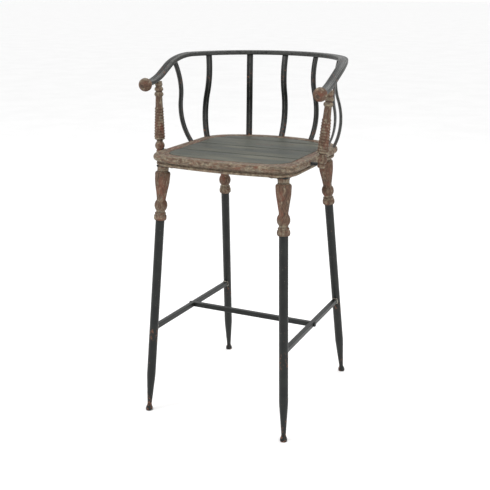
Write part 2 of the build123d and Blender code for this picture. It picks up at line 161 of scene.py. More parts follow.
class StoolColours(bpy.types.PropertyGroup):
    """Finish colours that a user may change."""
    wood: FloatVectorProperty(name="Bare wood", description="Brown wood where the paint is worn away",
                              size=4, subtype="COLOR", min=0, max=1, default=srgb("#604939"))
    red: FloatVectorProperty(name="Red primer", description="Reddish-brown coat under the cream paint",
                             size=4, subtype="COLOR", min=0, max=1, default=srgb("#6f3d2d"))
    cream: FloatVectorProperty(name="Cream paint", description="Thin chalky wash over the wood",
                               size=4, subtype="COLOR", min=0, max=1, default=srgb("#9a8f78"))
    planks: FloatVectorProperty(name="Plank paint", description="Grey-green paint of the seat planks",
                                size=4, subtype="COLOR", min=0, max=1, default=srgb("#474a41"))
    iron: FloatVectorProperty(name="Iron", description="Rubbed charcoal paint on the steel",
                              size=4, subtype="COLOR", min=0, max=1, default=srgb("#0c0f0e"))


# ---------------------------------------------------------------- node helper
def add(tree, kind, inputs=None, stops=None, **settings):
    """Adds a node: settings are its own values, and each input takes a value or another node's socket."""
    node = tree.nodes.new(kind)
    for name, value in settings.items():
        setattr(node, name, value)
    for key, value in (inputs or {}).items():
        if isinstance(value, bpy.types.NodeSocket):
            tree.links.new(value, node.inputs[key])
        else:
            node.inputs[key].default_value = value
    for number, (place, colour) in enumerate(stops or ()):
        ramp = node.color_ramp.elements
        stop = ramp[number] if number < 2 else ramp.new(place)
        stop.position = place
        stop.color = colour
    return node


def new_material(name):
    """An empty node material."""
    material = bpy.data.materials.new(name)
    material.use_nodes = True
    material.node_tree.nodes.clear()
    return material, material.node_tree


def surface(tree, looks, height=None, strength=0.0, depth=0.0):
    """Ends a material: the shader with its looks, over a low relief with its depth in millimetres."""
    if height is not None:
        looks["Normal"] = add(tree, "ShaderNodeBump", {
            "Height": height, "Strength": strength, "Distance": depth * MM}).outputs[0]
    shader = add(tree, "ShaderNodeBsdfPrincipled", looks)
    add(tree, "ShaderNodeOutputMaterial", {"Surface": shader.outputs[0]})


def blotch(tree, place, size, low, high, stretch=(1, 1, 1), extra=None, detail=5.0):
    """Mask of irregular patches of about that size in millimetres, with soft or crisp edges."""
    mapped = add(tree, "ShaderNodeMapping", {"Vector": place, "Scale": stretch})
    field = add(tree, "ShaderNodeTexNoise", {
        "Vector": mapped.outputs[0], "Scale": 1 / (size * MM), "Detail": detail, "Roughness": 0.62,
    }).outputs[0]
    if extra is not None:
        field = add(tree, "ShaderNodeMath", {0: field, 1: extra}, operation="ADD").outputs[0]
    return add(tree, "ShaderNodeMapRange", {"Value": field, "From Min": low, "From Max": high},
               interpolation_type="SMOOTHSTEP").outputs[0]


def coats(tree, ground, *layers):
    """Colour of coats laid over a ground, each where its mask says and as strongly as it says."""
    for over, mask, strength in layers:
        share = add(tree, "ShaderNodeMath", {0: mask, 1: strength}, operation="MULTIPLY").outputs[0]
        ground = add(tree, "ShaderNodeMix", {0: share, 6: ground, 7: over}, data_type="RGBA").outputs[2]
    return ground


def summed(tree, *terms, base=0.0):
    """Masks added to a base, each by its own weight."""
    for mask, weight in terms:
        base = add(tree, "ShaderNodeMath", {0: mask, 1: weight, 2: base}, operation="MULTIPLY_ADD").outputs[0]
    return base


def aged_wood(colours):
    """Turned hardwood, distressed by hand: chalky cream wash worn through to red primer and brown wood.
    Matt, darker in the grooves and hollows, with bare wood on proud edges and small open pits."""
    material, tree = new_material("distressed_painted_hardwood")
    place = add(tree, "ShaderNodeAttribute", attribute_name="grain").outputs["Vector"]
    relief = add(tree, "ShaderNodeAttribute", attribute_name="relief").outputs["Fac"]
    coat = add(tree, "ShaderNodeAttribute", attribute_name="coat").outputs["Fac"]
    fibre = blotch(tree, place, 1.6, 0.30, 0.62, stretch=(1, 1, 0.09), detail=4)
    red = blotch(tree, place, 22, 0.48, 0.66, stretch=(1, 1, 0.5))
    bias = summed(tree, (relief, -0.10), (coat, 1.0))
    wash = blotch(tree, place, 9, 0.42, 0.62, stretch=(1, 1, 0.5), extra=bias, detail=10)
    thin = blotch(tree, place, 2.4, 0.34, 0.62, stretch=(1, 1, 0.2), detail=4)
    cover = add(tree, "ShaderNodeMath", {0: wash, 1: summed(tree, (thin, 0.6), base=0.2)},
                operation="MULTIPLY").outputs[0]
    # Darker brown where the relief is low: the grooves, the cove under the seat's roll and its fine lines.
    groove_darkening = add(tree, "ShaderNodeMapRange", {"Value": relief, "From Min": -0.5, "From Max": -0.85}).outputs[0]
    pits = blotch(tree, place, 3.0, 0.63, 0.70, stretch=(1, 1, 0.6), detail=2)
    paint = coats(tree, tuple(colours.cream), (srgb("#69665a"), blotch(tree, place, 7, 0.38, 0.62), 1.0))
    colour = coats(tree, srgb("#30221a"), (tuple(colours.wood), fibre, 1.0), (tuple(colours.red), red, 0.5),
                   (paint, cover, 1.0), (srgb("#33241c"), groove_darkening, 0.75), (srgb("#2b1f19"), pits, 0.6))
    surface(tree, {"Base Color": colour, "Specular IOR Level": 0.3,
                   "Roughness": summed(tree, (cover, 0.12), base=0.66)},
            summed(tree, (pits, -1.6), (cover, 0.5), (fibre, 0.5)), 0.55, 0.4)
    return material


def plank_paint(colours):
    """Softwood planks under old grey-green milk paint: pale rubbed streaks along the grain,
    darker bands between them, brown wood where it is worn through, and a dull sheen."""
    material, tree = new_material("worn_milk_painted_plank")
    place = add(tree, "ShaderNodeAttribute", attribute_name="grain").outputs["Vector"]
    relief = add(tree, "ShaderNodeAttribute", attribute_name="relief").outputs["Fac"]
    fibre = blotch(tree, place, 1.5, 0.32, 0.68, stretch=(1, 1, 0.05), detail=4)
    pale = blotch(tree, place, 34, 0.42, 0.68, stretch=(1, 1, 0.13), detail=8)
    dark = blotch(tree, place, 50, 0.40, 0.70, stretch=(1, 1, 0.16))
    warm = blotch(tree, place, 12, 0.60, 0.72, stretch=(1, 1, 0.25), detail=7)
    edge = add(tree, "ShaderNodeMapRange", {"Value": relief, "From Min": -0.1, "From Max": -0.9}).outputs[0]
    colour = coats(tree, srgb("#34372f"), (tuple(colours.planks), fibre, 1.0), (srgb("#716f62"), pale, 0.6),
                   (srgb("#2b2f2b"), dark, 0.6), (srgb("#6f4f3c"), warm, 0.6), (srgb("#2f2d27"), edge, 0.85))
    surface(tree, {"Base Color": colour, "Specular IOR Level": 0.25,
                   "Roughness": summed(tree, (pale, 0.14), base=0.55)},
            summed(tree, (fibre, 1.0), (warm, -0.8)), 0.4, 0.3)
    return material


def rubbed_iron(colours):
    """Mild steel under charcoal paint that was rubbed back: low sheen, greenish-grey clouding, fine pale
    scuffs, rust freckles, and a lighter line along proud edges that is partly bare steel and partly painted
    highlight."""
    material, tree = new_material("rubbed_black_painted_steel")
    place = add(tree, "ShaderNodeTexCoord").outputs["Object"]
    rubbed_edge_and_highlight = add(tree, "ShaderNodeAttribute", attribute_name="rubbed_edge_and_highlight").outputs["Fac"]
    rust_near = add(tree, "ShaderNodeAttribute", attribute_name="rust").outputs["Fac"]
    cloud = blotch(tree, place, 30, 0.38, 0.66, detail=7)
    # Pale grey along the rail's crests and the bars' middles and edges: partly rubbed-through steel, partly
    # painted highlight, with a faint painted sheen on the rail's rounded sides.
    worn = add(tree, "ShaderNodeMath", {0: blotch(tree, place, 7, 0.30, 0.58, detail=6), 1: rubbed_edge_and_highlight},
               operation="MULTIPLY").outputs[0]
    scuff = blotch(tree, place, 4.5, 0.68, 0.76, detail=3)
    freckle = blotch(tree, place, 9, 0.645, 0.73, extra=summed(tree, (rust_near, 0.14)), detail=8)
    # The pale grey #8b8b86 is painted highlight mixed with rubbed-through steel on the crests and edges.
    colour = coats(tree, tuple(colours.iron), (srgb("#1b1f1c"), cloud, 0.6), (srgb("#8b8b86"), worn, 0.85),
                   (srgb("#8f8a7d"), scuff, 0.7), (srgb("#6b4634"), freckle, 0.85))
    surface(tree, {"Base Color": colour, "Specular IOR Level": 0.32,
                   "Roughness": summed(tree, (freckle, 0.3), base=0.4)},
            summed(tree, (cloud, 1.0), (freckle, 1.2)), 0.35, 0.3)
    return material


def bare_weld():
    """Bare welding bead, wire-brushed: bright grey ripples with brown tarnish in the hollows."""
    material, tree = new_material("brushed_weld_steel")
    place = add(tree, "ShaderNodeTexCoord").outputs["Object"]
    tarnish = blotch(tree, place, 5, 0.42, 0.62)
    surface(tree, {"Base Color": coats(tree, srgb("#a9a69c"), (srgb("#55483f"), tarnish, 1.0)),
                   "Metallic": 0.7, "Roughness": summed(tree, (tarnish, 0.3), base=0.38)})
    return material


def zinc_plate():
    """Zinc-plated steel hardware gone dull: grey with a faint yellow cast and cloudy sheen."""
    material, tree = new_material("dull_zinc_plated_steel")
    place = add(tree, "ShaderNodeTexCoord").outputs["Object"]
    cloud = blotch(tree, place, 6, 0.35, 0.65)
    surface(tree, {"Base Color": coats(tree, srgb("#8f8f88"), (srgb("#6c675b"), cloud, 1.0)),
                   "Metallic": 0.85, "Roughness": summed(tree, (cloud, 0.2), base=0.4)})
    return material


def plywood():
    """Bare birch plywood under the planks: pale brown with long soft grain, matt."""
    material, tree = new_material("bare_birch_plywood")
    place = add(tree, "ShaderNodeTexCoord").outputs["Object"]
    grain = blotch(tree, place, 3, 0.3, 0.7, stretch=(0.06, 1, 1), detail=6)
    figure = blotch(tree, place, 60, 0.35, 0.65, stretch=(0.3, 1, 1))
    colour = coats(tree, srgb("#7d5f41"), (srgb("#9c7b57"), grain, 1.0), (srgb("#5f4732"), figure, 0.5))
    surface(tree, {"Base Color": colour, "Roughness": 0.75}, grain, 0.3, 0.2)
    return material


FINISHES = {"aged_wood": aged_wood, "plank_paint": plank_paint, "black_iron": rubbed_iron}
PLAIN_FINISHES = {"board": plywood, "zinc_hardware": zinc_plate, "weld": bare_weld}


def finish_of(slot):
    """The material of a slot, made once."""
    key = f"stool_{slot}"
    made = [m for m in bpy.data.materials if m.get("stool_slot") == key]
    if made:
        return made[0]
    if slot in PLAIN_FINISHES:
        material = PLAIN_FINISHES[slot]()
    else:
        material = FINISHES[slot](bpy.context.scene.stool_colours)
    material["stool_slot"] = key
    return material


# ---------------------------------------------------------------- mesh helpers
def arc(first, via, last, count=10):
    """Points of the circular arc through three points, after the first."""
    (ax, ay), (bx, by), (cx, cy) = first, via, last
    d = 2 * (ax * (by - cy) + bx * (cy - ay) + cx * (ay - by))
    sa, sb, sc = ax**2 + ay**2, bx**2 + by**2, cx**2 + cy**2
    ux = (sa * (by - cy) + sb * (cy - ay) + sc * (ay - by)) / d
    uy = (sa * (cx - bx) + sb * (ax - cx) + sc * (bx - ax)) / d
    radius = hypot(ax - ux, ay - uy)
    start = atan2(ay - uy, ax - ux)
    middle = (atan2(by - uy, bx - ux) - start) % (2 * pi)
    turn = (atan2(cy - uy, cx - ux) - start) % (2 * pi)
    if middle > turn:
        turn -= 2 * pi
    return [(ux + radius * cos(start + turn * i / count), uy + radius * sin(start + turn * i / count))
            for i in range(1, count + 1)]


def through(points, count=8):
    """A smooth line through points, after the first."""
    ends = [points[0], *points, points[-1]]
    line = []
    for a, b, c, d in zip(ends, ends[1:], ends[2:], ends[3:]):
        for i in range(1, count + 1):
            t = i / count
            line.append(tuple(0.5 * (2 * q + (r - p) * t + (2 * p - 5 * q + 4 * r - s) * t**2
                                     + (3 * q - p - 3 * r + s) * t**3) for p, q, r, s in zip(a, b, c, d)))
    return line


def eased(profile, ease=0.5, angle=radians(22)):
    """The same half profile with its sharp corners rounded a little."""
    points = [profile[0]]
    for before, here, after in zip(profile, profile[1:], profile[2:]):
        back = Vector(before) - Vector(here)
        on = Vector(after) - Vector(here)
        if back.length > 1e-6 and on.length > 1e-6 and pi - back.angle(on) > angle:
            reach_back = min(ease, back.length / 2.5)
            reach_on = min(ease, on.length / 2.5)
            first = Vector(here) + back.normalized() * reach_back
            last = Vector(here) + on.normalized() * reach_on
            points += [tuple(first), tuple((first + last) / 4 + Vector(here) / 2), tuple(last)]
        else:
            points.append(here)
    return points + [profile[-1]]


def divided(profile, step=1.6):
    """The profile with its long runs divided."""
    points = [profile[0]]
    for a, b in zip(profile, profile[1:]):
        count = max(1, ceil(hypot(b[0] - a[0], b[1] - a[1]) / step))
        points += [(a[0] + (b[0] - a[0]) * i / count, a[1] + (b[1] - a[1]) * i / count)
                   for i in range(1, count + 1)]
    return points


def relief_of(profile, reach=4.0, full=1.6):
    """How proud each point of a turned profile stands of its neighbours, from -1 to 1."""
    marks = []
    for radius, along in profile:
        near = [r for r, s in profile if abs(s - along) < reach and r > 0.5]
        mean = sum(near) / max(1, len(near))
        marks.append(max(-1.0, min(1.0, (radius - mean) / full)))
    return marks


def write_fields(mesh, fields):
    """Stores numbers or vectors on the points of a mesh, by name."""
    for key, values in (fields or {}).items():
        if isinstance(values[0], (int, float)):
            mesh.attributes.new(key, "FLOAT", "POINT").data.foreach_set("value", values)
        else:
            flat = [c for v in values for c in v]
            mesh.attributes.new(key, "FLOAT_VECTOR", "POINT").data.foreach_set("vector", flat)


def in_scene(name, data):
    """An object that holds the data, put into the scene."""
    item = bpy.data.objects.new(name, data)
    bpy.context.scene.collection.objects.link(item)
    return item


def new_piece(name, vertices, faces, slot, fields=None, smooth_angle=38):
    """A piece from vertices in millimetres, with its fields, finish and slot."""
    mesh = bpy.data.meshes.new(name)
    mesh.from_pydata([tuple(c * MM for c in v) for v in vertices], [], faces)
    write_fields(mesh, fields)
    outward(mesh, smooth_angle)
    mesh.materials.append(finish_of(slot))
    return in_scene(name, mesh)


def outward(mesh, smooth_angle=38):
    """Closes seams, turns faces outwards and shades smooth between gentle faces."""
    work = bmesh.new()
    work.from_mesh(mesh)
    bmesh.ops.remove_doubles(work, verts=work.verts, dist=1e-6)
    bmesh.ops.recalc_face_normals(work, faces=work.faces)
    work.to_mesh(mesh)
    work.free()
    mesh.shade_smooth()
    mesh.set_sharp_from_angle(angle=radians(smooth_angle))


def turned(name, profile, start, direction, slot, wear=0.0, coat=None, crest=0.0, rust=None, step=1.6,
           segments=64):
    """A turned piece along an axis. The profile runs pole to pole as (radius, distance)."""
    profile = divided(eased(profile), step)
    marks = relief_of(profile)
    axis = direction.normalized()
    side = axis.cross(Vector((0, 1, 0))).normalized()
    other = axis.cross(side)
    offset = Vector((start.x, start.y, start.z)) * 0.37
    vertices, grain, relief, coats, rusts, rings = [], [], [], [], [], []
    for (radius, along), mark in zip(profile, marks):
        count = 1 if radius < 1e-6 else segments
        rings.append((len(vertices), count))
        for i in range(count):
            turn = 2 * pi * i / segments
            local = Vector((radius * cos(turn), radius * sin(turn), along))
            knock = noise.fractal((local + offset) * 0.05, 1.0, 2.0, 3) * 0.6
            dent = max(0.0, noise.noise((local + offset) * 0.16) - 0.42) * 3.0
            worn = max(0.0, radius - wear * (max(0.0, knock) + dent))
            spot = start + axis * along + side * (worn * cos(turn)) + other * (worn * sin(turn))
            vertices.append(spot)
            grain.append(((local + offset) * MM)[:])
            relief.append(mark)
            coats.append((coat(along) if coat else 0.0) + crest * mark)
            rusts.append(rust(along) if rust else 0.0)
    faces = []
    for (a, na), (b, nb) in zip(rings, rings[1:]):
        for i in range(segments):
            j = (i + 1) % segments
            if na == 1 and nb == 1:
                continue
            if na == 1:
                faces.append((a, b + i, b + j))
            elif nb == 1:
                faces.append((a + i, a + j, b))
            else:
                faces.append((a + i, a + j, b + j, b + i))
    return new_piece(name, vertices, faces, slot,
                     {"grain": grain, "relief": relief, "coat": coats, "rust": rusts})


def settle(piece, slot, *nodes):
    """Hangs a finished piece under the root body and hides the carried-over parts it replaces."""
    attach(piece, "root")
    if nodes:
        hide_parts(*nodes)


def flipped(point, side):
    """The point, on the left of the stool when side is -1."""
    return Vector((point[0] * side, point[1], point[2]))


SIDES = (("right", 1), ("left", -1))


# ---------------------------------------------------------------- Geometry Nodes
def new_tree(name, sockets):
    """An empty node group with a geometry in and out and named inputs."""
    tree = bpy.data.node_groups.new(name, "GeometryNodeTree")
    tree.interface.new_socket("Geometry", in_out="INPUT", socket_type="NodeSocketGeometry")
    for label, kind in sockets:
        tree.interface.new_socket(label, in_out="INPUT", socket_type=kind)
    tree.interface.new_socket("Geometry", in_out="OUTPUT", socket_type="NodeSocketGeometry")
    return tree, add(tree, "NodeGroupInput").outputs


def close_tree(tree, geometry, finish):
    """Ends a tree: instances made real and the finish set."""
    real = add(tree, "GeometryNodeRealizeInstances", {"Geometry": geometry}).outputs[0]
    painted = add(tree, "GeometryNodeSetMaterial", {"Geometry": real, "Material": finish}).outputs[0]
    add(tree, "NodeGroupOutput", {0: painted})


def bar_tree():
    """A moulded bar: a section drawn two units wide and two high, swept along a path of edges.
    The path's own "across" attribute holds the section level."""
    tree, given = new_tree("Bar along a path", [
        ("Section", "NodeSocketObject"), ("Width", "NodeSocketFloat"), ("Thickness", "NodeSocketFloat"),
        ("Finish", "NodeSocketMaterial")])
    path = add(tree, "GeometryNodeMeshToCurve", {"Mesh": given["Geometry"]}).outputs[0]
    across = add(tree, "GeometryNodeInputNamedAttribute", {"Name": "across"},
                 data_type="FLOAT_VECTOR").outputs[0]
    path = add(tree, "GeometryNodeSetCurveNormal", {"Curve": path, "Normal": across}, mode="FREE").outputs[0]
    drawn = add(tree, "GeometryNodeObjectInfo", {"Object": given["Section"]}).outputs["Geometry"]
    drawn = add(tree, "GeometryNodeMeshToCurve", {"Mesh": drawn}).outputs[0]
    half_width = add(tree, "ShaderNodeMath", {0: given["Width"], 1: 0.5}, operation="MULTIPLY").outputs[0]
    half_height = add(tree, "ShaderNodeMath", {0: given["Thickness"], 1: 0.5},
                      operation="MULTIPLY").outputs[0]
    size = add(tree, "ShaderNodeCombineXYZ", {0: half_width, 1: half_height, 2: 1.0}).outputs[0]
    drawn = add(tree, "GeometryNodeTransform", {"Geometry": drawn, "Scale": size}).outputs[0]
    swept = add(tree, "GeometryNodeCurveToMesh",
                {"Curve": path, "Profile Curve": drawn, "Fill Caps": True}).outputs[0]
    close_tree(tree, swept, given["Finish"])
    return tree


def weld_tree():
    """A weld bead: overlapping flattened ripples along a path of edges, each a little different."""
    tree, given = new_tree("Weld bead along a path", [
        ("Ripple width", "NodeSocketFloat"), ("Seed", "NodeSocketInt"), ("Finish", "NodeSocketMaterial")])
    path = add(tree, "GeometryNodeMeshToCurve", {"Mesh": given["Geometry"]}).outputs[0]
    pitch = add(tree, "ShaderNodeMath", {0: given["Ripple width"], 1: RIPPLE_PITCH},
                operation="MULTIPLY").outputs[0]
    spots = add(tree, "GeometryNodeCurveToPoints", {"Curve": path, "Length": pitch}, mode="LENGTH")
    radius = add(tree, "ShaderNodeMath", {0: given["Ripple width"], 1: 0.5}, operation="MULTIPLY").outputs[0]
    drop = add(tree, "GeometryNodeMeshIcoSphere", {"Radius": radius, "Subdivisions": 3}).outputs[0]
    squeeze = add(tree, "FunctionNodeRandomValue", {2: 0.72, 3: 1.15, "Seed": given["Seed"]},
                  data_type="FLOAT").outputs[1]
    size = add(tree, "ShaderNodeCombineXYZ", {0: squeeze, 1: squeeze, 2: 0.62}).outputs[0]
    laid_on = add(tree, "GeometryNodeInstanceOnPoints", {
        "Points": spots.outputs["Points"], "Instance": drop, "Rotation": spots.outputs["Rotation"],
        "Scale": size}).outputs[0]
    close_tree(tree, laid_on, given["Finish"])
    return tree


def screw_tree():
    """Screws hanging from points: one drawn head of unit diameter, turned differently at each point."""
    tree, given = new_tree("Screws on points", [
        ("Head", "NodeSocketObject"), ("Head diameter", "NodeSocketFloat"), ("Seed", "NodeSocketInt"),
        ("Finish", "NodeSocketMaterial")])
    head = add(tree, "GeometryNodeObjectInfo", {"Object": given["Head"]}).outputs["Geometry"]
    turn = add(tree, "FunctionNodeRandomValue", {2: 0.0, 3: 2 * pi, "Seed": given["Seed"]},
               data_type="FLOAT").outputs[1]
    turn = add(tree, "ShaderNodeCombineXYZ", {2: turn}).outputs[0]
    points = add(tree, "GeometryNodeMeshToPoints", {"Mesh": given["Geometry"]}).outputs[0]
    placed = add(tree, "GeometryNodeInstanceOnPoints", {
        "Points": points, "Instance": head, "Rotation": turn, "Scale": given["Head diameter"]}).outputs[0]
    close_tree(tree, placed, given["Finish"])
    return tree


def tree_called(name, build):
    """The node group of that name, built once."""
    return bpy.data.node_groups.get(name) or build()


def grown(name, source, tree, values, smooth_angle=38):
    """The plain mesh that a tree makes from a source object, as a piece. The source is removed."""
    modifier = source.modifiers.new("Build", "NODES")
    modifier.node_group = tree
    for item in tree.interface.items_tree:
        if item.item_type == "SOCKET" and item.in_out == "INPUT" and item.name in values:
            modifier[item.identifier] = values[item.name]
    graph = bpy.context.evaluated_depsgraph_get()
    mesh = bpy.data.meshes.new_from_object(source.evaluated_get(graph), depsgraph=graph)
    source.modifiers.remove(modifier)
    bpy.data.objects.remove(source)
    mesh.name = name
    outward(mesh, smooth_angle)
    return in_scene(name, mesh)


def drawn_line(name, points, closed=False, fields=None, unit=MM):
    """A mesh of edges that a tree reads as a path or a section."""
    edges = [(i, i + 1) for i in range(len(points) - 1)]
    if closed:
        edges.append((len(points) - 1, 0))
    mesh = bpy.data.meshes.new(name)
    mesh.from_pydata([tuple(c * unit for c in p) for p in points], edges, [])
    write_fields(mesh, fields)
    return in_scene(name, mesh)


def tangent_arc(start, tangent, end, count=24):
    """Points of the arc in space that leaves start along the tangent and ends at end, after the first."""
    chord = end - start
    tangent = tangent.normalized()
    flat = chord - tangent * chord.dot(tangent)
    if flat.length < 1e-6:
        return [start + chord * (i / count) for i in range(1, count + 1)], tangent
    normal = flat.normalized()
    radius = chord.length_squared / (2 * chord.dot(normal))
    turn = atan2(chord.dot(tangent), radius - chord.dot(normal))
    points = []
    for i in range(1, count + 1):
        part = turn * i / count
        points.append(start + tangent * (radius * sin(part)) + normal * (radius * (1 - cos(part))))
    return points, tangent * cos(turn) + normal * sin(turn)


# ---------------------------------------------------------------- seat shapes
def seat_edge(step=3.0):
    """The seat's outer edge as points with their outward directions, right round from the front."""
    front_centre = SEAT_FRONT + FRONT_EDGE_RADIUS
    back_centre = SEAT_BACK - BACK_EDGE_RADIUS
    front_x = SEAT_HALF_WIDTH - FRONT_CORNER_RADIUS
    back_x = SEAT_HALF_WIDTH - BACK_CORNER_RADIUS
    front_y = front_centre - sqrt((FRONT_EDGE_RADIUS - FRONT_CORNER_RADIUS)**2 - front_x**2)
    back_y = back_centre + sqrt((BACK_EDGE_RADIUS - BACK_CORNER_RADIUS)**2 - back_x**2)
    front_turn = atan2(front_y - front_centre, front_x)
    back_turn = atan2(back_y - back_centre, back_x)
    arcs = ((0, front_centre, FRONT_EDGE_RADIUS, -pi / 2, front_turn),
            (front_x, front_y, FRONT_CORNER_RADIUS, front_turn, 0.0),
            (back_x, back_y, BACK_CORNER_RADIUS, 0.0, back_turn),
            (0, back_centre, BACK_EDGE_RADIUS, back_turn, pi / 2))
    right = []
    for x, y, radius, first, last in arcs:
        count = max(2, round(radius * (last - first) / step))
        for i in range(count + 1):
            turn = first + (last - first) * i / count
            spot = (x + radius * cos(turn), y + radius * sin(turn), cos(turn), sin(turn))
            if right and hypot(spot[0] - right[-1][0], spot[1] - right[-1][1]) < 0.01:
                continue
            if right and hypot(spot[0] - right[-1][0], spot[1] - right[-1][1]) > 2 * step:
                right += straight_between(right[-1], spot, step)
            right.append(spot)
    left = [(-x, y, -nx, ny) for x, y, nx, ny in reversed(right[1:-1])]
    return right + left


def straight_between(a, b, step):
    """Points between two points of the seat's straight side."""
    count = round((b[1] - a[1]) / step)
    return [(a[0], a[1] + (b[1] - a[1]) * i / count, a[2], a[3]) for i in range(1, count)]


def field_edges(x, clearance=0.0):
    """Front and back y of the plank field at that x, moved in by the clearance."""
    inset = RIM_WIDTH + clearance
    ends = []
    for centre, radius, corner, sign in (
            (SEAT_FRONT + FRONT_EDGE_RADIUS, FRONT_EDGE_RADIUS - inset, FIELD_FRONT_CORNER - clearance, -1),
            (SEAT_BACK - BACK_EDGE_RADIUS, BACK_EDGE_RADIUS - inset, FIELD_BACK_CORNER - clearance, 1)):
        corner_x = SEAT_HALF_WIDTH - inset - corner
        rise = sqrt((radius - corner)**2 - corner_x**2)
        if abs(x) < corner_x * radius / (radius - corner):
            ends.append(centre + sign * sqrt(radius**2 - x**2))
        else:
            over = min(abs(x) - corner_x, corner)
            ends.append(centre + sign * (rise + sqrt(max(0.0, corner**2 - over**2))))
    return ends


def border_width(x, y, nx, ny):
    """How far in from a point of the seat's edge the plank field begins."""
    near, far = RIM_WIDTH - 2.0, 70.0
    for _ in range(22):
        middle = (near + far) / 2
        px, py = x - nx * middle, y - ny * middle
        front, back = field_edges(px)
        if abs(px) < SEAT_HALF_WIDTH - RIM_WIDTH and front < py < back:
            far = middle
        else:
            near = middle
    return far


def make_rim(sizes):
    """The moulded and rolled border of the seat, swept round its edge."""
    top = SEAT_TOP
    low = top - RIM_THICKNESS
    roll = [(9.0, top)] + arc((9.0, top), (0.0, top - 9.0), (9.0, top - 18.0), 14)
    bead = [(13.0, low + 8.0)] + arc((13.0, low + 8.0), (9.0, low + 4.0), (13.0, low), 10)
    section = [(RIM_WIDTH, low), (RIM_WIDTH, top - 2.2), (RIM_WIDTH - 0.8, top - 0.9),
               (RIM_WIDTH - 2.2, top - 0.1), (RIM_WIDTH - 4.6, top), (RIM_WIDTH - 5.4, top - 0.9),
               (RIM_WIDTH - 6.2, top)]
    section += divided([(RIM_WIDTH - 6.2, top), (9.0, top)], 2.4)[1:-1] + roll
    section += [(11.6, top - 18.6), (12.5, top - 19.6), (12.5, low + 9.2), (12.8, low + 8.4)] + bead
    section += divided([(13.0, low), (RIM_WIDTH, low)], 6.0)[1:-1]
    marks = []
    # Relief marks for the wood's finish: low in the cove under the roll, the fine line and the inner wall,
    # which are drawn darker there; high on the outer roll.
    for inset, z in section:
        deep = inset > 11.4 and low + 8.2 < z < top - 18
        line = RIM_WIDTH - 5.9 < inset < RIM_WIDTH - 4.9 or inset > RIM_WIDTH - 0.5
        marks.append(-0.7 if deep else -0.62 if line else 0.45 if inset < 4 else 0.0)
    edge = seat_edge()
    travelled = 0.0
    vertices, grain, relief, coats = [], [], [], []
    previous = edge[0]
    for x, y, nx, ny in edge:
        travelled += hypot(x - previous[0], y - previous[1])
        previous = (x, y)
        stretch = (border_width(x, y, nx, ny) - BORDER_EVEN) / (RIM_WIDTH - BORDER_EVEN)
        for inset, z in section:
            if inset > BORDER_EVEN:
                inset = BORDER_EVEN + (inset - BORDER_EVEN) * stretch
            spot = Vector((x - nx * inset, y - ny * inset, z))
            knock = max(0.0, noise.fractal(spot * 0.035, 1.0, 2.0, 3))
            knock += max(0.0, noise.noise(spot * 0.13) - 0.35) * 2.5
            depth = 0.9 * sizes.wear / MM * knock
            if z > low + 1.0:
                spot.z -= depth * (0.45 if inset > 8 else 0.2)
            if inset < 9.0:
                spot.x -= nx * depth
                spot.y -= ny * depth
            vertices.append(spot)
            grain.append((inset * MM, z * MM, travelled * MM))
            relief.append(marks[len(relief) % len(section)])
            coats.append(0.09 if inset < 14 else 0.0)
    count = len(section)
    faces = []
    for i in range(len(edge)):
        j = (i + 1) % len(edge)
        for k in range(count):
            m = (k + 1) % count
            faces.append((i * count + k, j * count + k, j * count + m, i * count + m))
    return new_piece("painted_seat_rim", vertices, faces, "aged_wood",
                     {"grain": grain, "relief": relief, "coat": coats})


def make_plank(number, low, high):
    """One plank, cut to the seat's outline, with eased and slightly uneven top edges."""
    half = SEAT_HALF_WIDTH - RIM_WIDTH - 0.55
    xs = [half * sin(pi / 2 * i / 60) for i in range(-60, 61)]
    rows = 30
    vertices, grain, relief = [], [], []
    for x in xs:
        front, back = field_edges(x, 0.5)
        first = max(low, front)
        last = max(first + 0.05, min(high, back))
        for k in range(rows + 1):
            share = 0.5 - 0.5 * cos(pi * k / rows)
            y = first + (last - first) * share
            near = min(y - first, last - y)
            near = min(near, (half - abs(x)) * 1.2)
            drop = 1.3 * max(0.0, 1 - near / 2.2) ** 2
            cup = 0.25 * (noise.noise(Vector((x * 0.01, y * 0.03, number * 9.0))) + 0.5)
            rub = 0.18 * (noise.noise(Vector((x * 0.03, y * 0.25, number * 5.0))) + 0.5)
            vertices.append(Vector((x, y, SEAT_TOP - 0.25 - drop - cup - rub)))
            grain.append((y * MM, number * 0.31, (x + number * 137.0) * MM))
            relief.append(-max(0.0, 1 - near / 2.6))
    faces = []
    for i in range(len(xs) - 1):
        for k in range(rows):
            a = i * (rows + 1) + k
            faces.append((a, a + rows + 1, a + rows + 2, a + 1))
    rim = [i * (rows + 1) for i in range(len(xs))]
    rim += [(len(xs) - 1) * (rows + 1) + k for k in range(1, rows + 1)]
    rim += [i * (rows + 1) + rows for i in reversed(range(len(xs) - 1))]
    rim += [k for k in reversed(range(1, rows))]
    base = len(vertices)
    for index in rim:
        spot = vertices[index]
        vertices.append(Vector((spot.x, spot.y, PLANK_BASE)))
        grain.append((spot.y * MM, number * 0.31 - 0.019, (spot.x + number * 137.0) * MM))
        relief.append(-1.0)
    total = len(rim)
    for k in range(total):
        m = (k + 1) % total
        faces.append((rim[k], rim[m], base + m, base + k))
    faces.append(tuple(base + k for k in range(total)))
    return new_piece(f"seat_plank_painted_{number}", vertices, faces, "plank_paint",
                     {"grain": grain, "relief": relief})


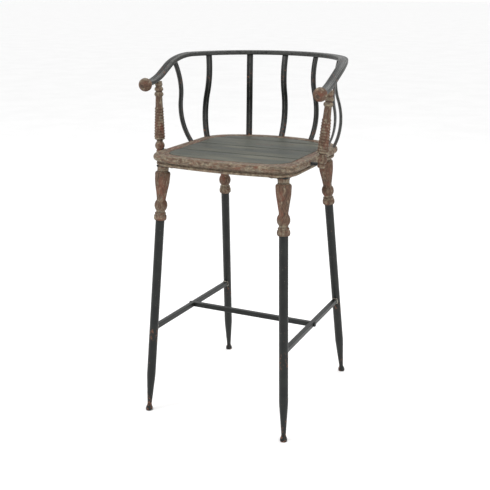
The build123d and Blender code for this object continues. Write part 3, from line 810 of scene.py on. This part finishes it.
# ---------------------------------------------------------------- turned profiles
def leg_profile():
    """Neck, shouldered vase, ball and collar of a leg's turning."""
    end = TURNING_LENGTH
    vase = through([(21.5, 24), (20.2, 46), (16.0, 72), (13.0, 91.5)])
    return [(0, 0), (16.8, 0), (16.8, 3), (15.8, 6), (15.8, 14.5), (19.6, 16.5),
            *arc((19.6, 16.5), (21.1, 19.5), (21.5, 24)), *vase, (13.0, 97), (14.6, 98.5),
            *arc((14.6, 98.5), (18.2, 111), (14.6, 123.5), 16), (12.8, 125.5), (12.8, 131), (15.6, 132),
            (15.6, 135.5), (14.4, 136.5), (16.8, 138.5),
            *arc((16.8, 138.5), (18.0, 144.5), (17.2, end - 1.5)),
            (16.0, end), (0, end)]


def post_profile():
    """Foot, ball, neck, ringed and tapered shaft, two beads and a cap of an arm post."""
    line = [(0, -22), (7.4, -22), (10.2, -20), (10.8, -15), (9.4, -12.5), (9.0, -11),
            *arc((9.0, -11), (14.0, 0), (9.2, 11), 16), (8.8, 13), (8.8, 16), (12.2, 17.5),
            *arc((12.2, 17.5), (14.7, 19.5), (14.4, 22), 6)]
    for i in range(RING_COUNT):
        low = 22.0 + RING_PITCH * i
        wide = RING_RADIUS - RING_SLOPE * i
        line += [(wide - 1.5, low + 0.9),
                 *arc((wide - 1.5, low + 0.9), (wide, low + 4.4), (wide - 1.5, low + RING_PITCH), 8)]
    line += [(10.7, 109.9), (9.8, 138.5), (9.8, 140.5), *arc((9.8, 140.5), (13.2, 147.0), (9.6, 152.5)),
             (8.8, 154.5), *arc((8.8, 154.5), (12.6, 161.0), (9.0, 167.0)), (9.0, 169.5), (10.8, 171.5),
             (10.8, 176), (9.6, 178), (9.6, 183.5), (0, 183.5)]
    return line


def ball_profile():
    """A turned ball with a fine line at its middle and a small flat at its front."""
    radius = BALL_RADIUS
    line = [(0.0, -radius + 0.15)]
    steps = 40
    for i in range(2, steps):
        turn = pi * i / steps
        if i == steps // 2:
            line += [(radius, -0.5), (radius - 0.45, 0.0), (radius, 0.5)]
        else:
            line.append((radius * sin(turn), -radius * cos(turn)))
    return line + [(0.0, radius)]


# ---------------------------------------------------------------- operators
class STOOL_OT_seat(bpy.types.Operator):
    """Makes the seat's rim and planks"""
    bl_idname = "stool.seat"
    bl_label = "Seat"

    def execute(self, context):
        settle(make_rim(context.scene.stool_sizes), "aged_wood", "seat_rim")
        edges = (SEAT_FRONT, *PLANK_SEAMS, SEAT_BACK)
        for number, (low, high) in enumerate(zip(edges, edges[1:]), start=1):
            plank = make_plank(number, low + PLANK_GAP / 2, high - PLANK_GAP / 2)
            settle(plank, "plank_paint", f"seat_plank_{number}")
        return {"FINISHED"}


class STOOL_OT_legs(bpy.types.Operator):
    """Turns the leg tops, the tapered tubes and the feet"""
    bl_idname = "stool.legs"
    bl_label = "Legs"

    def execute(self, context):
        sizes = context.scene.stool_sizes
        radius = sizes.tube / MM / 2
        for end, (foot, top) in LEGS.items():
            for side, sign in SIDES:
                low, high = flipped(foot, sign), flipped(top, sign)
                axis = (low - high).normalized()
                start = high - axis * (PLATE_THICKNESS / axis.z)
                length = (low - start).length
                tip = length - FOOT_HEIGHT
                weld = (start.z - STRETCHER_Z) / -axis.z
                top_piece = turned(f"leg_top_{end}_{side}", leg_profile(), start, axis, "aged_wood",
                                   wear=sizes.wear / MM, coat=self.leg_coat)
                settle(top_piece, "aged_wood", f"leg_turning_{end}_{side}")

                def rusty(along, weld=weld, tip=tip):
                    return max(0.0, 1 - abs(along - weld - 22) / 34, 1 - abs(along - tip) / 60)

                taper = tip - TUBE_TAPER
                tube = [(0, TURNING_LENGTH), (radius, TURNING_LENGTH), (radius, taper - 8),
                        *arc((radius, taper - 8), (radius - 0.08, taper), (radius - 0.45, taper + 8), 4),
                        (TUBE_END_RADIUS, tip), (0, tip)]
                tube_piece = turned(f"tapered_tube_{end}_{side}", tube, start, axis, "black_iron", wear=0.12,
                                    rust=rusty, step=6.0, segments=48)
                settle(tube_piece, "black_iron", f"leg_tube_{end}_{side}")
                settle(self.foot(f"turned_foot_{end}_{side}", start, axis, tip, length),
                       "black_iron", f"leg_foot_{end}_{side}")
        return {"FINISHED"}

    def leg_coat(self, along):
        """More of the cream wash is left on the neck and the collar than on the vase and the ball."""
        return 0.10 if along < 16 else 0.05 if along > 124 else -0.07

    def foot(self, name, start, axis, tip, length):
        """A neck and a rounded bead, cut flat on the floor."""
        profile = [(0, tip - 2), (4.6, tip - 2), (4.6, tip), (7.1, tip), (7.1, tip + 2.5), (7.4, tip + 3.5),
                   *arc((7.4, tip + 3.5), (10.0, length - 7), (8.4, length + 3), 14), (0, length + 3)]
        piece = turned(name, profile, start, axis, "black_iron", rust=lambda along: 0.8, step=1.2,
                       segments=40)
        work = bmesh.new()
        work.from_mesh(piece.data)
        everything = work.verts[:] + work.edges[:] + work.faces[:]
        cut = bmesh.ops.bisect_plane(work, geom=everything, plane_co=(0, 0, 0), plane_no=(0, 0, 1),
                                     clear_inner=True)
        rim = [e for e in cut["geom_cut"] if isinstance(e, bmesh.types.BMEdge)]
        bmesh.ops.contextual_create(work, geom=rim)
        work.to_mesh(piece.data)
        work.free()
        outward(piece.data)
        return piece


class STOOL_OT_arms(bpy.types.Operator):
    """Turns the arm posts and the balls at the ends of the rail"""
    bl_idname = "stool.arms"
    bl_label = "Arm posts and balls"

    def execute(self, context):
        wear = context.scene.stool_sizes.wear / MM
        for side, sign in SIDES:
            low, high = flipped(POST_FINIAL, sign), flipped(POST_BEAD, sign)
            post = turned(f"ringed_post_{side}", post_profile(), low, high - low, "aged_wood",
                          wear=wear * 0.6, coat=self.post_coat, crest=0.22, step=1.3)
            settle(post, "aged_wood", f"arm_post_{side}")
            centre = flipped(BALL_CENTRE, sign)
            outwards = (centre - flipped(ARM_END, sign)).normalized()
            ball = turned(f"turned_ball_{side}", ball_profile(), centre, outwards, "aged_wood",
                          wear=wear, coat=lambda along: -0.03)
            settle(ball, "aged_wood", f"arm_ball_{side}")
        return {"FINISHED"}

    def post_coat(self, along):
        """Cream is left around the neck and the beads, and on the crests of the rings."""
        return 0.08 if 10 < along < 23 or along > 138 else -0.05


def rail_arc(angle):
    """A point of the rail's level arc, its angle in degrees round from the stool's right."""
    turn = radians(angle)
    return Vector((RAIL_RADIUS * cos(turn), RAIL_CENTRE_Y + RAIL_RADIUS * sin(turn), RAIL_Z))


def arm_bend(count):
    """Points of the bend from the level arc down into the arm, and the direction it ends in."""
    turn = radians(RAIL_LEVEL_END)
    return tangent_arc(rail_arc(RAIL_LEVEL_END), Vector((sin(turn), -cos(turn), 0)), ARM_BEND_END, count)


def rail_half():
    """Points of the rail's right half, from the middle of the back to the end of the arm."""
    points = [rail_arc(90 - i) for i in range(round(90 - RAIL_LEVEL_END) + 1)]
    bend, tangent = arm_bend(30)
    points += bend
    points += [bend[-1] + tangent * (ARM_STRAIGHT * i / 8) for i in range(1, 9)]
    points += tangent_arc(points[-1], tangent, ARM_END, 18)[0]
    return points


def rail_point(angle):
    """The rail's middle line above a spindle."""
    if angle >= RAIL_LEVEL_END:
        return rail_arc(angle)
    count = 240
    bend = [rail_arc(RAIL_LEVEL_END)] + arm_bend(count)[0]
    return bend[round(count * (RAIL_LEVEL_END - angle) / RAIL_LEVEL_END)]


def level_across(points):
    """Level direction across a line at each of its points."""
    across = []
    for i in range(len(points)):
        tangent = points[min(i + 1, len(points) - 1)] - points[max(i - 1, 0)]
        across.append(tangent.cross(Vector((0, 0, 1))).normalized())
    return across


def rail_section():
    """Handrail moulding two units wide and high, with two shallow grooves along the top."""
    half, up = 13.5, 6.5
    right = [(half - 4, -up), *arc((half - 4, -up), (half - 1.2, -up + 1.2), (half, -up + 4), 5),
             (half, up - 4),
             *arc((half, up - 4), (half - 1.4, up - 1.6), (half - 4.5, up - 0.5), 5),
             *arc((half - 4.5, up - 0.5), (half - 6.5, up - 1.9), (half - 8.5, up - 0.5), 8),
             *arc((half - 8.5, up - 0.5), (half - 11, up - 0.1), (0, up), 5)]
    left = [(-x, y) for x, y in reversed(right[:-1])]
    line = divided(right + left, 0.7)
    rubbed_edge_and_highlight = []
    # Lighter marks for the steel: 0.9 on the crest lines of the top grooves is painted highlight with some
    # rubbed-through steel, and 0.16 on the rounded sides is a faint painted sheen.
    for x, y in line:
        proud = min(abs(abs(x) - (half - 8.5)), abs(abs(x) - (half - 4.0)))
        rubbed_edge_and_highlight.append(0.9 if y > 0 and proud < 0.4 else 0.16 if abs(x) > half - 2.5 else 0.0)
    return drawn_line("rail_section", [(x / half, -y / up, 0) for x, y in line], closed=True,
                      fields={"rubbed_edge_and_highlight": rubbed_edge_and_highlight}, unit=1.0)


def bar_section():
    """Flat bar two units wide and high: eased corners and a low crown down the middle of each face."""
    quarter = [(0.0, 1.0), (0.06, 0.995), (0.18, 0.98), (0.5, 0.88), (0.78, 0.80), (0.9, 0.7),
               (0.97, 0.5), (1.0, 0.2)]
    right = quarter + [(x, -y) for x, y in reversed(quarter)]
    line = right + [(-x, y) for x, y in reversed(right[1:-1])]
    # 0.3 down the middle of each face and along the edges: painted highlight lines, with some rubbed-through
    # steel.
    rubbed_edge_and_highlight = [0.3 if abs(x) < 0.1 or abs(x) > 0.92 else 0.0 for x, y in line]
    return drawn_line("bar_section", [(x, y, 0) for x, y in line], closed=True,
                      fields={"rubbed_edge_and_highlight": rubbed_edge_and_highlight}, unit=1.0)


def spindle_path(foot, angle):
    """A shallow S from inside the seat to the middle of the rail, and the direction across the bar."""
    base = Vector((foot[0], foot[1], SEAT_TOP))
    chord = rail_point(angle) - base
    outwards = Vector((cos(radians(angle)), sin(radians(angle)), 0))
    across = outwards.cross(chord).normalized()
    along = chord.normalized()
    out = across.cross(chord).normalized() * -1
    length = chord.length
    low = base + out * SPINDLE_BELLY[0] + along * (length * SPINDLE_BELLY[1])
    high = base - out * SPINDLE_WAIST[0] + along * (length * SPINDLE_WAIST[1])
    to_foot, foot_tangent = tangent_arc(low, -along, base, 22)
    tenon = base + foot_tangent * SPINDLE_TENON
    lower, tangent = tangent_arc(low, along, (low + high) / 2, 16)
    upper, _ = tangent_arc(lower[-1], tangent, high, 16)
    head, _ = tangent_arc(high, along, base + chord, 18)
    return [tenon] + list(reversed(to_foot)) + [low] + lower + upper + head, across


class STOOL_OT_back(bpy.types.Operator):
    """Sweeps the moulded rail and the curved flat bars of the back"""
    bl_idname = "stool.back"
    bl_label = "Back rail and spindles"

    def execute(self, context):
        sizes = context.scene.stool_sizes
        tree = tree_called("Bar along a path", bar_tree)
        iron = finish_of("black_iron")
        half = rail_half()
        points = [flipped(p, -1) for p in reversed(half[1:])] + half
        near_end = [max(0.0, 1 - abs(p.y + 60) / 60) * 0.6 for p in points]
        path = drawn_line("rail_path", points, fields={"across": [v[:] for v in level_across(points)],
                                                       "rust": near_end})
        section = rail_section()
        rail = grown("moulded_rail", path, tree, {
            "Section": section, "Width": sizes.rail_width, "Thickness": sizes.rail_thickness,
            "Finish": iron}, 50)
        bpy.data.objects.remove(section)
        settle(rail, "black_iron", "back_rail")
        section = bar_section()
        for number, (foot, angle) in enumerate(zip(SPINDLE_FEET, SPINDLE_TOPS)):
            for sign in ((1, -1) if angle < 90 else (1,)):
                points, across = spindle_path(foot, angle)
                points = [flipped(p, sign) for p in points]
                across = Vector((across.x * sign, across.y, across.z))
                rust = [max(0.0, 1 - i / 22) + max(0.0, 1 - abs(i - 52) / 9) * 0.7
                        for i in range(len(points))]
                name = 7 - number if sign == 1 else number + 1
                path = drawn_line("bar_path", points, fields={
                    "across": [across[:]] * len(points), "rust": rust})
                bar = grown(f"curved_bar_{name}", path, tree, {
                    "Section": section, "Width": sizes.spindle_width, "Thickness": sizes.spindle_thickness,
                    "Finish": iron}, 50)
                settle(bar, "black_iron", f"spindle_{name}")
        bpy.data.objects.remove(section)
        return {"FINISHED"}


def leg_point_at(end, sign, z):
    """The point of a leg's axis at a height, and the direction down the leg."""
    foot, top = LEGS[end]
    low, high = flipped(foot, sign), flipped(top, sign)
    axis = (low - high).normalized()
    return high + axis * ((z - high.z) / axis.z), axis


def weld_loop(end, other, sign, radius):
    """Where the square stretcher meets a round leg, as a closed line just proud of both."""
    here, axis = leg_point_at(end, sign, STRETCHER_Z)
    there, _ = leg_point_at(other, sign, STRETCHER_Z)
    run = (there - here).normalized()
    level = run.cross(Vector((0, 0, 1))).normalized()
    half = STRETCHER_SIZE / 2 + WELD_PROUD
    inner = half - STRETCHER_CORNER
    outline = []
    for cx, cz, first in ((inner, inner, 0), (-inner, inner, 90), (-inner, -inner, 180),
                          (inner, -inner, 270)):
        for i in range(5):
            turn = radians(first + 90 * i / 4)
            outline.append((cx + STRETCHER_CORNER * cos(turn), cz + STRETCHER_CORNER * sin(turn)))
    points = []
    for across, up in divided(outline + [outline[0]], 1.5)[:-1]:
        spot = here + level * across + Vector((0, 0, up))
        reach = 0.0
        while reach < 25.0:
            gap = spot + run * reach - here
            if (gap - axis * gap.dot(axis)).length > radius + WELD_PROUD:
                break
            reach += 0.1
        points.append(spot + run * reach)
    return points


class STOOL_OT_footrest(bpy.types.Operator):
    """Lays the weld beads where the side stretchers meet the legs"""
    bl_idname = "stool.footrest"
    bl_label = "Footrest welds"

    def execute(self, context):
        sizes = context.scene.stool_sizes
        tree = tree_called("Weld bead along a path", weld_tree)
        for side, sign in SIDES:
            for end, other in (("front", "back"), ("back", "front")):
                loop = weld_loop(end, other, sign, sizes.tube / MM / 2)
                path = drawn_line("weld_path", loop, closed=True)
                bead = grown(f"weld_bead_{end}_{side}", path, tree, {
                    "Ripple width": sizes.bead, "Seed": sizes.seed + len(end) * sign,
                    "Finish": finish_of("weld")}, 80)
                settle(bead, "black_iron")
        return {"FINISHED"}


def screw_head():
    """A pan head one unit across and a short shank, hanging down, with a cross recess."""
    work = bmesh.new()
    rings = []
    count = 32
    profile = [(0.24, 1.6), (0.24, 0.0), (0.5, 0.0), (0.5, -0.16), (0.46, -0.26), (0.36, -0.31),
               (0.26, -0.32)]
    for radius, z in profile:
        rings.append([work.verts.new((radius * cos(2 * pi * i / count), radius * sin(2 * pi * i / count), z))
                      for i in range(count)])
    depth = -0.12
    inner = []
    for i in range(count):
        turn = 2 * pi * i / count
        slot = 0.22 if i % 8 in (0, 1, 7) else 0.07
        inner.append(work.verts.new((slot * cos(turn), slot * sin(turn), -0.31)))
    floor = [work.verts.new((v.co.x * 0.8, v.co.y * 0.8, depth)) for v in inner]
    rings += [inner, floor]
    for first, second in zip(rings, rings[1:]):
        for i in range(count):
            j = (i + 1) % count
            work.faces.new((first[i], first[j], second[j], second[i]))
    work.faces.new(rings[0])
    work.faces.new(floor)
    bmesh.ops.recalc_face_normals(work, faces=work.faces)
    mesh = bpy.data.meshes.new("screw_head")
    work.to_mesh(mesh)
    work.free()
    return in_scene("screw_head", mesh)


class STOOL_OT_hardware(bpy.types.Operator):
    """Puts the screws into the corner plates under the seat"""
    bl_idname = "stool.hardware"
    bl_label = "Plate screws"

    def execute(self, context):
        sizes = context.scene.stool_sizes
        points = []
        for end, inward in (("front", 1), ("back", -1)):
            top = LEGS[end][1]
            near, far = SCREW_INSET - SCREW_SPREAD, SCREW_INSET + SCREW_SPREAD
            for x, y in ((far, near), (far, far), (near, far)):
                points += [(sign * (top.x - x), top.y + inward * y, LEG_TOP_Z - PLATE_THICKNESS)
                           for _, sign in SIDES]
        mesh = bpy.data.meshes.new("screw_points")
        mesh.from_pydata([tuple(c * MM for c in p) for p in points], [], [])
        source = in_scene("screw_points", mesh)
        head = screw_head()
        screws = grown("pan_head_screws", source, tree_called("Screws on points", screw_tree), {
            "Head": head, "Head diameter": sizes.screw, "Seed": sizes.seed,
            "Finish": finish_of("zinc_hardware")}, 30)
        bpy.data.objects.remove(head)
        settle(screws, "zinc_hardware", "plate_screws")
        return {"FINISHED"}


class STOOL_OT_finishes(bpy.types.Operator):
    """Gives every carried-over part of the frame its finish"""
    bl_idname = "stool.finishes"
    bl_label = "Frame finishes"

    def execute(self, context):
        slots = {part["node"]: part["material_slot"] for part in frame["record"]["subparts"]}
        for name, node in frame["nodes"].items():
            finish = finish_of(slots[name])
            node.data.materials.clear()
            node.data.materials.append(finish)
        return {"FINISHED"}


class STOOL_OT_stage(bpy.types.Operator):
    """Sets up the floor, the lights and the camera"""
    bl_idname = "stool.stage"
    bl_label = "Stage"

    def execute(self, context):
        scene = context.scene
        mesh = bpy.data.meshes.new("floor")
        corners = [(x * FLOOR_REACH, y * FLOOR_REACH, 0) for x, y in ((-1, -1), (1, -1), (1, 1), (-1, 1))]
        mesh.from_pydata(corners, [], [(0, 1, 2, 3)])
        floor = in_scene("floor", mesh)
        material, tree = new_material("matt_white_paper")
        place = add(tree, "ShaderNodeTexCoord").outputs["Object"]
        mottle = (srgb("#f8f8f8"), blotch(tree, place, 400, 0.3, 0.7), 1.0)
        surface(tree, {"Base Color": coats(tree, srgb("#fcfcfc"), mottle), "Roughness": 0.95})
        mesh.materials.append(material)

        world = bpy.data.worlds.new("soft_white_room")
        scene.world = world
        world.use_nodes = True
        background = world.node_tree.nodes["Background"]
        background.inputs["Color"].default_value = srgb("#ffffff")
        background.inputs["Strength"].default_value = 1.0
        for name, place, size, power in LAMPS:
            lamp = bpy.data.lights.new(name, "AREA")
            lamp.shape = "DISK"
            lamp.size = size
            lamp.energy = power
            holder = in_scene(name, lamp)
            holder.location = place
            holder.rotation_euler = (LAMP_AIM - Vector(place)).to_track_quat("-Z", "Y").to_euler()

        camera = in_scene("camera", bpy.data.cameras.new("camera"))
        camera.location = CAMERA_PLACE
        camera.rotation_euler = (radians(90 - CAMERA_PITCH), 0, radians(CAMERA_AZIMUTH))
        camera.data.lens = CAMERA_LENS
        camera.data.sensor_width = 36.0
        camera.data.clip_end = 300.0
        scene.camera = camera
        scene.view_settings.view_transform = "Standard"
        return {"FINISHED"}


class STOOL_PT_panel(bpy.types.Panel):
    """Lists the stool's pieces and sizes"""
    bl_label = "Bar stool"
    bl_idname = "STOOL_PT_panel"
    bl_space_type = "VIEW_3D"
    bl_region_type = "UI"
    bl_category = "Stool"

    def draw(self, context):
        for operator in OPERATORS:
            self.layout.operator(operator.bl_idname)
        for group in (context.scene.stool_sizes, context.scene.stool_colours):
            for name in group.__annotations__:
                self.layout.prop(group, name)


OPERATORS = (STOOL_OT_seat, STOOL_OT_legs, STOOL_OT_arms, STOOL_OT_back, STOOL_OT_footrest,
             STOOL_OT_hardware, STOOL_OT_finishes, STOOL_OT_stage)
CLASSES = (StoolSizes, StoolColours, *OPERATORS, STOOL_PT_panel)


def register():
    """Adds the classes and the two groups of properties."""
    for item in CLASSES:
        bpy.utils.register_class(item)
    bpy.types.Scene.stool_sizes = PointerProperty(type=StoolSizes)
    bpy.types.Scene.stool_colours = PointerProperty(type=StoolColours)


def unregister():
    """Takes them away again."""
    del bpy.types.Scene.stool_sizes
    del bpy.types.Scene.stool_colours
    for item in reversed(CLASSES):
        bpy.utils.unregister_class(item)


def main():
    """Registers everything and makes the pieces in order."""
    register()
    bpy.ops.stool.finishes()
    bpy.ops.stool.seat()
    bpy.ops.stool.legs()
    bpy.ops.stool.arms()
    bpy.ops.stool.back()
    bpy.ops.stool.footrest()
    bpy.ops.stool.hardware()
    bpy.ops.stool.stage()


if __name__ == "__main__":
    main()
